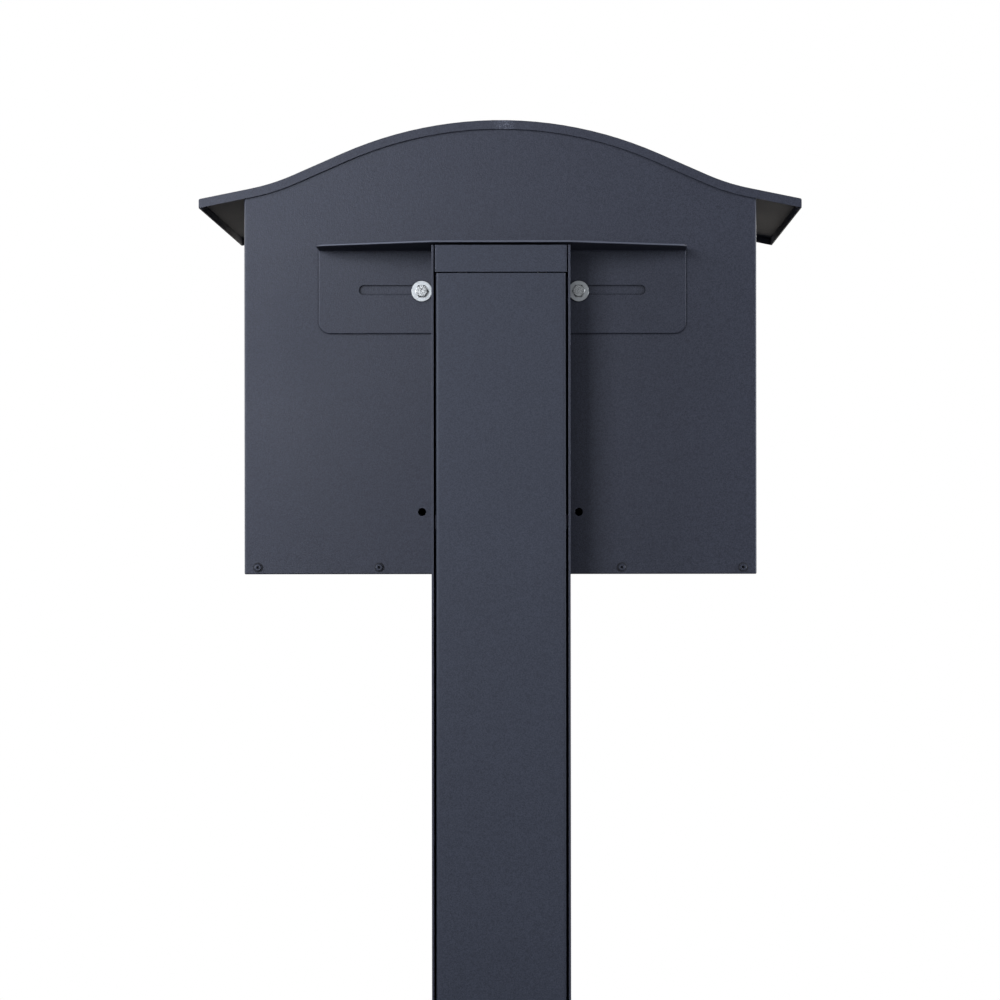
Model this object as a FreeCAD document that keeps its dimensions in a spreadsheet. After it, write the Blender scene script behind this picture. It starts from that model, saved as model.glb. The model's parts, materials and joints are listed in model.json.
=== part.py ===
"""Two-compartment mailbox unit on a C-section post, as a parametric FreeCAD document.

The frame: origin on the ground under the middle of the post, +Z up, the doors face -Y, the bracket
and the open side of the post face +Y. Lengths are millimetres, angles are degrees.
"""
import FreeCAD, Part
import math
import os
import re

import Sketcher
from FreeCAD import Placement, Rotation, Vector

SIZES = {
    # post and foot
    "post_width": 118.8, "post_depth": 60, "post_sheet": 1.8, "post_top": 1182.5, "post_bend": 7.5,
    "base_width": 200, "base_length": 150, "base_thickness": 6, "base_corner": 10,
    "anchor_x": 80, "anchor_y": 55, "anchor_radius": 6,
    "gusset_reach": 35, "gusset_height": 60, "gusset_thickness": 4,
    "cover_width": 111.7, "cover_top": 1158.5, "cover_bottom": 8, "cover_sheet": 1.5,
    "cover_depth": 25, "cover_bend": 2.5, "clip_height": 12, "clip_low": 300, "clip_rise": 640,
    "clip_start": 6, "clip_end": 24, "clip_ramp": 6, "clip_leaf": 0.5,
    "plate_width": 113.4, "plate_depth": 18, "plate_bend": 1.6, "plate_gap": 1,
    # bracket between post and box
    "bracket_width": 323, "bracket_bottom": 1111.4, "bracket_top": 1186.6, "bracket_sheet": 2,
    "bracket_corner": 10, "bracket_bend": 3, "bracket_reach": 61, "bracket_side": 30,
    "slot_start": 62, "slot_end": 126, "slot_height": 8.5, "slot_level": 1149.7, "rim_round": 0.7,
    "stud_x": 35, "stud_low": 1128, "stud_rise": 34, "stud_length": 18,
    # box
    "box_shift": 1.9, "body_width": 451, "body_depth": 265, "body_floor": 899.8, "box_sheet": 1.2,
    "body_bend": 2, "fit_gap": 0.1, "floor_flange": 9.5, "floor_round": 1.1,
    "bolt_x": 69, "bolt_level": 1148.6, "spare_level": 954.5, "bolt_hole_radius": 3.5,
    "rivet_level": 905.8, "rivet_pitch": 106.75, "rivet_radius": 2, "rivet_head": 3.2,
    "rivet_bore": 1.25, "rivet_slack": 0.05, "seal_radius": 4.1, "seal_thickness": 0.6,
    "side_start": 40, "side_pitch": 80, "column_inset": 8, "column_start": 960, "column_pitch": 115,
    "partition_top": 1270, "partition_flange": 14,
    # M6 fasteners
    "thread_radius": 3, "thread_hole": 3.3, "nut_flats": 10, "nut_height": 5, "nut_bore": 3.05,
    "bolt_head": 4, "bolt_length": 16, "washer_radius": 9, "washer_thickness": 1.6, "washer_bore": 3.2,
    # roof outline: crown arc, straight flank, hollow arc, straight eave
    "ridge": 1299.2, "roof_half": 265.2, "roof_depth": 290, "roof_overhang": 2, "roof_lip": 7.8,
    "crown_radius": 345, "flank_angle": 23.7, "flank_end": 182.5, "hollow_radius": 180,
    "eave_angle": 11.5, "roof_gap": 0.3, "roof_round": 0.5, "roof_bend": 1.6,
    "rail_half": 15, "rail_height": 10, "rail_top": 1297.1, "rail_tab": 26,
    "rail_stud_start": 66, "rail_stud_pitch": 133, "rail_stud_length": 12,
    # front
    "opening_inner": 10, "opening_outer": 211.5, "opening_bottom": 912, "opening_top": 1160,
    "frame_return": 15, "stop_start": 30, "stop_width": 12, "stop_height": 11,
    "door_inner": 12, "door_outer": 209, "door_bottom": 914, "door_top": 1158, "door_return": 10,
    "door_bend": 1.5, "hinge_x": 203.5, "hinge_setback": 4.5, "pin_radius": 2, "pin_head": 0.9,
    "pin_length": 9,
    "letter_inner": 18, "letter_outer": 203, "letter_bottom": 1174, "letter_top": 1208,
    "flap_inner": 13, "flap_outer": 208, "flap_bottom": 1166, "flap_gap": 2.3, "flap_lip": 5,
    "rod_level": 1217, "rod_radius": 1.5, "rod_forward": 4, "knuckle_radius": 2.9, "ear_sheet": 1.2,
    "ear_gap": 1.6, "ear_half": 4, "ear_corner": 2.5, "baffle_reach": 32, "baffle_hem": 7,
    "baffle_foot": 11, "baffle_sheet": 1,
    # lock, card holder, rubber dots
    "lock_x": 26, "lock_level": 1036, "barrel_radius": 8, "plug_radius": 5.5, "lock_head": 10,
    "lock_proud": 2, "cam_length": 23, "cam_width": 13, "cam_thickness": 2, "cam_hub": 8.5, "cam_corner": 2,
    "lock_nut_flats": 20, "lock_nut_back": 3.3, "shank_half": 3.5, "screw_radius": 1.9,
    "key_thickness": 2, "key_reach": 17, "key_bow": 11, "key_half": 3, "key_hole": 2.5, "key_pitch": 3,
    "holder_x": 110.5, "holder_level": 1130, "holder_width": 66, "holder_height": 22,
    "holder_sheet": 1.5, "holder_border": 3.5, "holder_rebate": 1.5, "holder_corner": 2,
    "bumper_radius": 3, "bumper_inset": 2, "bumper_rise": 4, "stop_bumper_radius": 4,
    "stop_bumper_inset": 6,
}

document = FreeCAD.newDocument("mailbox_unit")
sheet = document.addObject("Spreadsheet::Sheet", "Sizes")
for row, (alias, size) in enumerate(SIZES.items(), start=1):
    sheet.set(f"A{row}", alias)
    sheet.set(f"B{row}", str(size))
    sheet.setAlias(f"B{row}", alias)
document.recompute()

ALIASES = re.compile(r"\b(" + "|".join(SIZES) + r")\b")
PLANES = {"X": "YZ_Plane", "Y": "XZ_Plane", "Z": "XY_Plane"}
NODES = []


class Middle:
    """The middle plane that sub-parts are drawn and mirrored about: the post's, and later the box's."""
    x = "0"


# faces that several sub-parts share, as expressions
WEB = "(-post_depth / 2)"
REAR = "(-post_depth / 2 - bracket_sheet)"
REAR_IN = f"({REAR} - box_sheet)"
FRONT = f"({REAR} - body_depth)"
FRONT_IN = f"({FRONT} + box_sheet)"
SIDE = "(body_width / 2)"
SIDE_IN = f"({SIDE} - box_sheet - fit_gap)"
RETURN_BACK = f"({FRONT} + frame_return)"
HINGE_Y = f"({FRONT} + hinge_setback)"
ROD_Y = f"({FRONT} - rod_forward)"
FLAP_BACK = f"({FRONT} - flap_gap)"
POST_REAR = "(post_depth / 2)"
LOCK_FACE = f"({FRONT} - lock_proud)"
CAM_FRONT = f"({RETURN_BACK} + 0.5)"
CAM_BACK = f"({CAM_FRONT} + cam_thickness)"
RIVET_HOLE = "(rivet_radius + rivet_slack)"
TOWARDS_REAR = Rotation(Vector(1, 0, 0), -90)
TOWARDS_FRONT = Rotation(Vector(1, 0, 0), 90)
TOWARDS_RIGHT = Rotation(Vector(0, 1, 0), 90)


# ---------------------------------------------------------------- tools for expressions and sketches
def bound(text):
    """The expression with every alias read from the sheet."""
    return ALIASES.sub(r"Sizes.\1", str(text))


def number(text):
    """The value of an expression."""
    return float(sheet.evalExpression(bound(text)))


def origin_feature(body, role):
    """The plane or axis of the body's own origin that has this role."""
    return [item for item in body.Origin.OriginFeatures if item.Role == role][0]


def rectangle(x_low, y_low, x_high, y_high):
    """Corners of a rectangle."""
    return [(x_low, y_low), (x_high, y_low), (x_high, y_high), (x_low, y_high)]


def mirrored_rectangle(half, y_low, y_high):
    """Corners of a rectangle centred on the middle plane."""
    return rectangle(f"-({half})", y_low, half, y_high)


def rounded(x_low, y_low, x_high, y_high, radius):
    """Corners of a rectangle whose four corners are arcs."""
    turn = (radius, 1)
    return [
        (f"{x_low} + {radius}", y_low), (f"{x_high} - {radius}", y_low, turn),
        (x_high, f"{y_low} + {radius}"), (x_high, f"{y_high} - {radius}", turn),
        (f"{x_high} - {radius}", y_high), (f"{x_low} + {radius}", y_high, turn),
        (x_low, f"{y_high} - {radius}"), (x_low, f"{y_low} + {radius}", turn),
    ]


def hexagon(x_middle, y_middle, across_flats):
    """Corners of a regular hexagon."""
    return [
        (f"{x_middle} + {across_flats} / 2 / cos(30) * cos({60 * turn})",
         f"{y_middle} + {across_flats} / 2 / cos(30) * sin({60 * turn})")
        for turn in range(6)
    ]


def channel(half, closed_y, open_y, thickness):
    """Corners of a U section with its web at closed_y, open towards open_y."""
    inner = f"({closed_y} + {thickness})"
    if number(open_y) < number(closed_y):
        inner = f"({closed_y} - {thickness})"
    wall = f"({half} - {thickness})"
    return [
        (f"-{half}", open_y), (f"-{half}", closed_y), (half, closed_y), (half, open_y),
        (wall, open_y), (wall, inner), (f"-{wall}", inner), (f"-{wall}", open_y),
    ]


def arc_between(start, end, radius, side):
    """The short arc between two points; side 1 has its centre left of the way from start to end."""
    chord = end - start
    sagitta = radius - math.sqrt(radius ** 2 - chord.Length ** 2 / 4)
    right = Vector(chord.y, -chord.x, 0).normalize()
    return Part.Arc(start, (start + end) / 2 + right * sagitta * side, end)


def fix_point(sketch, geometry, position, corner):
    """Hold a point of the sketch at two expressions."""
    for kind, text in zip(("DistanceX", "DistanceY"), corner):
        index = sketch.addConstraint(Sketcher.Constraint(kind, -1, 1, geometry, position, number(text)))
        sketch.setExpression(f"Constraints[{index}]", bound(text))


def draw_loop(sketch, corners):
    """Draw a closed outline; a corner's third value makes its side to the next corner an arc."""
    points = [Vector(number(corner[0]), number(corner[1]), 0) for corner in corners]
    ends = []
    for index, corner in enumerate(corners):
        start = points[index]
        end = points[(index + 1) % len(points)]
        if len(corner) == 3:
            radius, side = corner[2]
            geometry = sketch.addGeometry(arc_between(start, end, number(radius), side), False)
            place = sketch.addConstraint(Sketcher.Constraint("Radius", geometry, number(radius)))
            sketch.setExpression(f"Constraints[{place}]", bound(radius))
            ends.append((geometry, (1, 2) if side > 0 else (2, 1)))
        else:
            geometry = sketch.addGeometry(Part.LineSegment(start, end), False)
            ends.append((geometry, (1, 2)))
    for index, (geometry, (first, last)) in enumerate(ends):
        following, (next_first, next_last) = ends[(index + 1) % len(ends)]
        sketch.addConstraint(Sketcher.Constraint("Coincident", geometry, last, following, next_first))
        fix_point(sketch, geometry, first, corners[index][:2])


def draw_disc(sketch, x_middle, y_middle, radius):
    """Draw a circle."""
    middle = Vector(number(x_middle), number(y_middle), 0)
    geometry = sketch.addGeometry(Part.Circle(middle, Vector(0, 0, 1), number(radius)), False)
    index = sketch.addConstraint(Sketcher.Constraint("Radius", geometry, number(radius)))
    sketch.setExpression(f"Constraints[{index}]", bound(radius))
    fix_point(sketch, geometry, 3, (x_middle, y_middle))


def disc(x_middle, y_middle, radius):
    """A circle, to be drawn in a sketch."""
    return {"disc": (x_middle, y_middle, radius)}


def draw(body, axis, level, shapes):
    """A sketch square to the axis, at this level of it, with its shapes."""
    sketch = body.newObject("Sketcher::SketchObject", f"{body.Label}_outline")
    sketch.AttachmentSupport = [(origin_feature(body, PLANES[axis]), "")]
    sketch.MapMode = "FlatFace"
    sense = "-1" if axis == "Y" else "1"
    sketch.setExpression("AttachmentOffset.Base.z", bound(f"{sense} * ({level})"))
    for shape in shapes:
        if isinstance(shape, dict):
            draw_disc(sketch, *shape["disc"])
        else:
            draw_loop(sketch, shape)
    return sketch


# ---------------------------------------------------------------- tools for features
def start_body(label):
    """An empty body that may hold several solids."""
    body = document.addObject("PartDesign::Body", label)
    body.Label = label
    body.AllowCompound = True
    body.setExpression("Placement.Base.x", bound(Middle.x))
    return body


def add(body, axis, low, high, *shapes):
    """Pad the shapes along the axis, from low to high."""
    feature = body.newObject("PartDesign::Pad", f"{body.Label}_pad")
    feature.Profile = draw(body, axis, low, shapes)
    feature.setExpression("Length", bound(f"({high}) - ({low})"))
    feature.Reversed = axis == "Y"
    document.recompute()
    return feature


def cut(body, axis, low, high, *shapes):
    """Pocket the shapes along the axis, from low to high, and make sure that metal was removed."""
    before = body.Shape.Volume
    sketch = draw(body, axis, low, shapes)
    feature = body.newObject("PartDesign::Pocket", f"{body.Label}_pocket")
    feature.Profile = sketch
    feature.setExpression("Length", bound(f"({high}) - ({low})"))
    feature.Reversed = axis != "Y"
    document.recompute()
    if not body.Shape.Volume < before - 1e-3:
        raise RuntimeError(f"a pocket of {body.Label} removed nothing")
    return feature


def turned(label, corners):
    """A body turned about its own Z axis from corners given as radius and height."""
    body = start_body(label)
    sketch = draw(body, "Y", "0", [corners])
    feature = body.newObject("PartDesign::Revolution", f"{label}_revolution")
    feature.Profile = sketch
    feature.ReferenceAxis = (sketch, ["V_Axis"])
    feature.Angle = 360
    document.recompute()
    return body


def on_line(axis, *places):
    """A test for straight edges along an axis at one of the places across it."""
    here = "XYZ".index(axis)
    across = [index for index in range(3) if index != here]
    wanted = [[number(text) for text in place] for place in places]

    def test(edge):
        if edge.Curve.TypeId != "Part::GeomLine":
            return False
        ends = [vertex.Point for vertex in edge.Vertexes]
        if len(ends) != 2 or abs(ends[0][here] - ends[1][here]) < 1:
            return False
        return any(
            all(abs(end[index] - value) < 0.01 for end in ends for index, value in zip(across, place))
            for place in wanted
        )

    return test


def round_edges(body, radius, test):
    """Fillet the edges of the body's tip that pass the test."""
    tip = body.Tip
    names = [f"Edge{index}" for index, edge in enumerate(tip.Shape.Edges, start=1) if test(edge)]
    if not names:
        raise RuntimeError(f"no edge of {body.Label} to round")
    fillet = body.newObject("PartDesign::Fillet", f"{body.Label}_fillet")
    fillet.Base = (tip, names)
    fillet.setExpression("Radius", bound(radius))
    document.recompute()


def repeat(body, *directions):
    """Repeat the whole body along one or two of its axes: (axis, length, count)."""
    pattern = body.newObject("PartDesign::LinearPattern", f"{body.Label}_pattern")
    pattern.TransformMode = "Whole shape"
    for (axis, length, count), suffix in zip(directions, ("", "2")):
        setattr(pattern, "Direction" + suffix, (origin_feature(body, f"{axis}_Axis"), [""]))
        pattern.setExpression("Length" + suffix, bound(length))
        setattr(pattern, "Occurrences" + suffix, count)
    body.Tip = pattern
    document.recompute()


def place(body, position, rotation=None):
    """Put the body at a position given as three expressions."""
    body.Placement = Placement(Vector(0, 0, 0), rotation or Rotation())
    x, y, z = position
    for axis, text in (("x", f"{Middle.x} + ({x})"), ("y", y), ("z", z)):
        body.setExpression(f"Placement.Base.{axis}", bound(text))
    document.recompute()
    return body


def mirror(label, source):
    """The left-hand twin of a right-hand sub-part."""
    twin = document.addObject("Part::Mirroring", label)
    twin.Label = label
    twin.Source = source
    twin.Normal = Vector(1, 0, 0)
    twin.setExpression("Base.x", bound(Middle.x))
    document.recompute()
    return twin


def group(label, *members):
    """Identical loose pieces that share one node."""
    compound = document.addObject("Part::Compound", label)
    compound.Label = label
    compound.Links = list(members)
    document.recompute()
    return compound


def keep(*objects):
    """Mark sub-parts that get a file of their own."""
    NODES.extend(objects)


def keep_pair(body):
    """Keep a right-hand body and its left-hand twin."""
    keep(body, mirror(body.Label.replace("_right", "_left"), body))


# ---------------------------------------------------------------- roof outline
CROWN_X = "(crown_radius * sin(flank_angle))"
CROWN_Z = "(ridge - crown_radius * (1 - cos(flank_angle)))"
FLANK_Z = f"({CROWN_Z} - tan(flank_angle) * (flank_end - {CROWN_X}))"
HOLLOW_X = "(flank_end + hollow_radius * (sin(flank_angle) - sin(eave_angle)))"
HOLLOW_Z = f"({FLANK_Z} - hollow_radius * (cos(eave_angle) - cos(flank_angle)))"
EAVE_Z = f"({HOLLOW_Z} - tan(eave_angle) * (roof_half - {HOLLOW_X}))"


def roof_curve(depth, inset="0"):
    """The roof's outline from left to right, this deep below its top face, its ends drawn in by inset."""
    right = []
    for x, z, slope in (
        (CROWN_X, CROWN_Z, "flank_angle"), ("flank_end", FLANK_Z, "flank_angle"),
        (HOLLOW_X, HOLLOW_Z, "eave_angle"),
    ):
        right.append((f"({x} - ({depth}) * sin({slope}))", f"({z} - ({depth}) * cos({slope}))"))
    eave_z = f"({EAVE_Z} + ({inset}) * tan(eave_angle) - ({depth}) / cos(eave_angle))"
    right.append((f"(roof_half - ({inset}))", eave_z))
    crown, flank, hollow, eave = right
    left = [(f"-{x}", z) for x, z in right]
    crown_arc = (f"crown_radius - ({depth})", -1)
    hollow_arc = (f"hollow_radius + ({depth})", 1)
    return [
        left[3], (*left[2], hollow_arc), left[1], (*left[0], crown_arc),
        crown, (*flank, hollow_arc), hollow, eave,
    ]


def roof_top():
    """The outline of the roof's top face, with its bends down into the end lips."""
    reach = "(roof_bend * tan((90 - eave_angle) / 2))"
    bend = ("roof_bend", -1)
    high = (f"(roof_half - {reach} * cos(eave_angle))", f"({EAVE_Z} + {reach} * sin(eave_angle))")
    low = ("roof_half", f"({EAVE_Z} - {reach})")
    left_high, left_low = (f"-{high[0]}", high[1]), (f"-{low[0]}", low[1])
    return [(*left_low, bend), left_high, *roof_curve("0")[1:-1], (*high, bend), low]


def backwards(corners):
    """The same open outline walked the other way."""
    result = []
    for index in range(len(corners) - 1, -1, -1):
        x, z = corners[index][:2]
        before = corners[index - 1] if index else ()
        if len(before) == 3:
            radius, side = before[2]
            result.append((x, z, (radius, -side)))
        else:
            result.append((x, z))
    return result


def trim_under_roof(body):
    """Cut away what would stand above the underside of the roof."""
    above = [("roof_half + 20", "ridge + 20"), ("-(roof_half + 20)", "ridge + 20")]
    outline = roof_curve("box_sheet + roof_gap") + above
    cut(body, "Y", f"{FRONT} - 40", f"{REAR} + 10", outline)


# ---------------------------------------------------------------- fasteners
def rivet(label):
    """A blind rivet through two sheets and a seal: low head, open bore with a mandrel stub, bulb inside."""
    grip = "(box_sheet * 2 + fit_gap)"
    bulb = "(rivet_radius + 0.7)"
    seat, crown = "seal_thickness", "(seal_thickness + 1.1)"
    return turned(label, [
        ("0", "-0.8"), ("rivet_bore", "-0.8"), ("rivet_bore", crown), ("rivet_head - 0.7", crown),
        ("rivet_head", f"{seat} + 0.4"), ("rivet_head", seat), ("rivet_radius", seat),
        ("rivet_radius", f"-{grip}"), (bulb, f"-({grip} + 0.3)"), (bulb, f"-({grip} + 2)"),
        ("1.5", f"-({grip} + 2.8)"), ("0", f"-({grip} + 2.8)"),
    ])


def rivet_seal(label):
    """The rubber washer under a rivet's head."""
    return turned(label, [
        (RIVET_HOLE, "0.02"), ("seal_radius - 0.2", "0.02"), ("seal_radius", "0.2"),
        ("seal_radius", "seal_thickness - 0.2"), ("seal_radius - 0.2", "seal_thickness - 0.02"),
        (RIVET_HOLE, "seal_thickness - 0.02"),
    ])


def hex_nut(label):
    """An M6 hexagon nut with chamfered corners, standing on its own Z = 0."""
    body = start_body(label)
    add(body, "Z", "0", "nut_height", hexagon("0", "0", "nut_flats"), disc("0", "0", "nut_bore"))
    chamfer_hexagon(body, "nut_height", 1)
    chamfer_hexagon(body, "0", -1)
    return body


def washer(label):
    """A wide flat washer, standing on its own Z = 0."""
    body = start_body(label)
    add(body, "Z", "0", "washer_thickness", disc("0", "0", "washer_radius"), disc("0", "0", "washer_bore"))
    return body


def threaded_stud(label, length):
    """An M6 welded stud with a chamfered end, standing on its own Z = 0."""
    radius, tip = "thread_radius", f"({length} - 0.6)"
    return turned(label, [
        ("0", "0"), (radius, "0"), (radius, tip), (f"{radius} - 0.6", length), ("0", length)])


def chamfer_hexagon(body, level, side):
    """Turn the corners off one end of a hexagon."""
    near, far = "nut_flats * 0.48", "nut_flats * 0.62"
    sketch = draw(body, "Y", "0", [[
        (near, level), (far, level), (far, f"{level} - ({side}) * nut_flats * 0.07")]])
    groove = body.newObject("PartDesign::Groove", f"{body.Label}_groove")
    groove.Profile = sketch
    groove.ReferenceAxis = (sketch, ["V_Axis"])
    groove.Angle = 360
    document.recompute()


# ---------------------------------------------------------------- post and foot
def make_base():
    plate = start_body("base_plate")
    half, long_half = "(base_width / 2)", "(base_length / 2)"
    holes = [disc(f"{x} * anchor_x", f"{y} * anchor_y", "anchor_radius") for x in (-1, 1) for y in (-1, 1)]
    add(plate, "Z", "0", "base_thickness",
        rounded(f"-{half}", f"-{long_half}", half, long_half, "base_corner"), *holes)

    gusset = start_body("gusset")
    foot, toe = "post_width / 2", "post_width / 2 + gusset_reach"
    low, high = "base_thickness", "base_thickness + gusset_height"
    add(gusset, "Y", "-gusset_thickness / 2", "gusset_thickness / 2",
        [(foot, low), (toe, low), (toe, f"{low} + 8"), (f"{foot} + 8", high), (foot, high)])
    keep(plate, group("base_gussets", gusset, mirror("gusset_left", gusset)))


def stud_places(radius):
    """Circles at the four studs between bracket and post."""
    return [disc(f"{side} * stud_x", level, radius)
            for side in (-1, 1) for level in ("stud_low", "stud_low + stud_rise")]


def make_post():
    post = start_body("post_channel")
    half = "(post_width / 2)"
    add(post, "Z", "base_thickness", "post_top", channel(half, WEB, POST_REAR, "post_sheet"))
    round_edges(post, "post_bend", on_line("Z", (half, WEB), (f"-{half}", WEB)))
    inner = f"({WEB} + post_sheet)"
    wall = f"({half} - post_sheet)"
    round_edges(post, "post_bend - post_sheet", on_line("Z", (wall, inner), (f"-{wall}", inner)))
    cut(post, "Y", f"{WEB} - 1", f"{inner} + 1", *stud_places("thread_hole"))

    cover = start_body("post_cover")
    half = "(cover_width / 2)"
    add(cover, "Z", "cover_bottom", "cover_top",
        channel(half, POST_REAR, f"{POST_REAR} - cover_depth", "cover_sheet"))
    round_edges(cover, "cover_bend", on_line("Z", (half, POST_REAR), (f"-{half}", POST_REAR)))

    plate = start_body("post_top_plate")
    half = "(plate_width / 2)"
    add(plate, "Z", "cover_top + plate_gap", "post_top",
        channel(half, POST_REAR, f"{POST_REAR} - plate_depth", "cover_sheet"))
    round_edges(plate, "plate_bend", on_line("Z", (half, POST_REAR), (f"-{half}", POST_REAR)))
    keep(post, cover, plate)


def make_cover_clips():
    """Bowed leaf springs on the cover's side walls, which press on the inside of the post."""
    clip = start_body("clip")
    low, high, leaf = "clip_start", "clip_end", "clip_leaf"
    inner, bow = "cover_width / 2 + 0.02", "(post_width / 2 - post_sheet - 0.1)"
    add(clip, "Z", "clip_low", "clip_low + clip_height", [
        (inner, low), (f"{inner} + {leaf}", low), (bow, f"{low} + clip_ramp"),
        (bow, f"{high} - clip_ramp"), (f"{inner} + {leaf}", high), (inner, high),
        (inner, f"{high} - clip_ramp / 3"), (f"{bow} - {leaf}", f"{high} - clip_ramp - 0.4"),
        (f"{bow} - {leaf}", f"{low} + clip_ramp + 0.4"), (inner, f"{low} + clip_ramp / 3"),
    ])
    repeat(clip, ("Z", "clip_rise", 2))
    keep(group("cover_clips", clip, mirror("clip_left", clip)))


# ---------------------------------------------------------------- bracket and the bolts through it
def on_bracket_rim(edge):
    """A test for the edges around the flange, and around the rear face of the plate."""
    points = [vertex.Point for vertex in edge.Vertexes]
    middle = edge.valueAt((edge.FirstParameter + edge.LastParameter) / 2)
    web, half = number(WEB), number("bracket_width / 2")
    if all(point.z < number("bracket_top - bracket_bend") + 0.01 for point in points):
        outside = abs(middle.x) > half - number("bracket_corner")
        low = middle.z < number("bracket_bottom + bracket_corner")
        return all(abs(point.y - web) < 0.01 for point in points) and (outside or low)
    flat = any(all(abs(point.z - number(level)) < 0.01 for point in points)
               for level in ("bracket_top", "bracket_top - bracket_sheet"))
    return flat and middle.y > web + number("bracket_bend - bracket_sheet") + 0.5


def make_bracket():
    bracket = start_body("bracket")
    half = "(bracket_width / 2)"
    corner = ("bracket_corner", 1)
    add(bracket, "Y", REAR, WEB, [
        (f"-{half}", "bracket_bottom + bracket_corner", corner),
        (f"-{half} + bracket_corner", "bracket_bottom"),
        (f"{half} - bracket_corner", "bracket_bottom", corner),
        (half, "bracket_bottom + bracket_corner"),
        (half, "bracket_top"),
        (f"-{half}", "bracket_top"),
    ])
    under = "bracket_top - bracket_sheet"
    edge = f"({WEB} + bracket_reach)"
    side = f"({WEB} + bracket_side)"
    add(bracket, "Z", under, "bracket_top", [
        (f"-{half}", REAR), (half, REAR), (half, side), ("post_width / 2", edge),
        ("-post_width / 2", edge), (f"-{half}", side)])
    round_edges(bracket, "bracket_corner", on_line("Z", (half, side), (f"-{half}", side)))
    round_edges(bracket, "bracket_bend", on_line("X", (REAR, "bracket_top")))
    round_edges(bracket, "bracket_bend - bracket_sheet", on_line("X", (WEB, under)))
    round_edges(bracket, "rim_round", on_bracket_rim)
    slot_low, slot_high = "slot_level - slot_height / 2", "slot_level + slot_height / 2"
    slot_end = "slot_height / 2"
    first, last = f"slot_start + {slot_end}", f"slot_end - {slot_end}"
    cut(bracket, "Y", f"{REAR} - 1", f"{WEB} + 1",
        rectangle(first, slot_low, last, slot_high),
        rectangle(f"-({last})", slot_low, f"-({first})", slot_high))
    for middle in (first, last, f"-({first})", f"-({last})"):
        cut(bracket, "Y", f"{REAR} - 1", f"{WEB} + 1", disc(middle, "slot_level", slot_end))
    cut(bracket, "Y", f"{REAR} - 1", f"{WEB} + 1", *stud_places("nut_bore"))
    keep(bracket)


def make_bracket_fasteners():
    grid = (("X", "stud_x * 2", 2), ("Y", "stud_rise", 2))
    stud = threaded_stud("bracket_studs", "stud_length")
    repeat(stud, *grid)
    place(stud, ("-stud_x", f"{REAR} + 0.1", "stud_low + stud_rise"), TOWARDS_REAR)
    nut = hex_nut("bracket_nuts")
    repeat(nut, *grid)
    place(nut, ("-stud_x", f"{WEB} + post_sheet", "stud_low + stud_rise"), TOWARDS_REAR)
    keep(stud, nut)


def make_mounting_bolts():
    row = ("X", "bolt_x * 2", 2)
    bolt = start_body("mounting_bolts")
    add(bolt, "Z", "0", "bolt_head", hexagon("0", "0", "nut_flats"))
    chamfer_hexagon(bolt, "bolt_head", 1)
    add(bolt, "Z", "-bolt_length", "bolt_head / 2", disc("0", "0", "thread_radius"))
    outer = washer("mounting_washers")
    inner = washer("inner_washers")
    nut = hex_nut("mounting_nuts")
    for body, level, facing in (
        (bolt, f"{WEB} + washer_thickness", TOWARDS_REAR), (outer, WEB, TOWARDS_REAR),
        (inner, REAR_IN, TOWARDS_FRONT), (nut, f"{REAR_IN} - washer_thickness", TOWARDS_FRONT),
    ):
        repeat(body, row)
        place(body, ("-bolt_x", level, "bolt_level"), facing)
    keep(bolt, outer, inner, nut)


# ---------------------------------------------------------------- box
def on_floor_rim(edge):
    """A test for the outer edges along the bottom of the box."""
    if any(abs(vertex.Z - number("body_floor")) > 0.01 for vertex in edge.Vertexes):
        return False
    middle = edge.valueAt((edge.FirstParameter + edge.LastParameter) / 2)
    on_rear = abs(middle.y - number(REAR)) < 0.01
    on_side = abs(abs(middle.x) - number(SIDE)) < 0.01
    on_bend = abs(getattr(edge.Curve, "Radius", 0) - number("body_bend")) < 0.01
    return on_rear or on_side or on_bend


def row_holes(*steps):
    """Rivet holes of the row along the bottom of a front or rear face."""
    return [disc(f"{step} * rivet_pitch", "rivet_level", RIVET_HOLE) for step in steps]


def side_holes():
    """Rivet holes of a side: three along the floor, then three up the front frame."""
    row = [disc(f"{REAR} - side_start - {step} * side_pitch", "rivet_level", RIVET_HOLE)
           for step in range(3)]
    column = [disc(f"{FRONT} + column_inset", f"column_start + {step} * column_pitch", RIVET_HOLE)
              for step in range(3)]
    return row + column


def make_body_shell():
    shell = start_body("body_shell")
    add(shell, "Z", "body_floor", "ridge", channel(SIDE, REAR, FRONT, "box_sheet"))
    round_edges(shell, "body_bend", on_line("Z", (SIDE, REAR), (f"-{SIDE}", REAR)))
    wall = f"({SIDE} - box_sheet)"
    round_edges(shell, "body_bend - box_sheet", on_line("Z", (wall, REAR_IN), (f"-{wall}", REAR_IN)))
    trim_under_roof(shell)
    round_edges(shell, "floor_round", on_floor_rim)
    holes = [disc(f"{side} * bolt_x", z, "bolt_hole_radius") for side in (-1, 1)
             for z in ("bolt_level", "spare_level")]
    cut(shell, "Y", f"{REAR_IN} - 1", f"{REAR} + 1", *holes, *row_holes(-2, -1, 0, 1, 2))
    for low, high in ((f"-{SIDE} - 1", f"-{SIDE} + 3"), (f"{SIDE} - 3", f"{SIDE} + 1")):
        cut(shell, "X", low, high, *side_holes())
    keep(shell)


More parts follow.
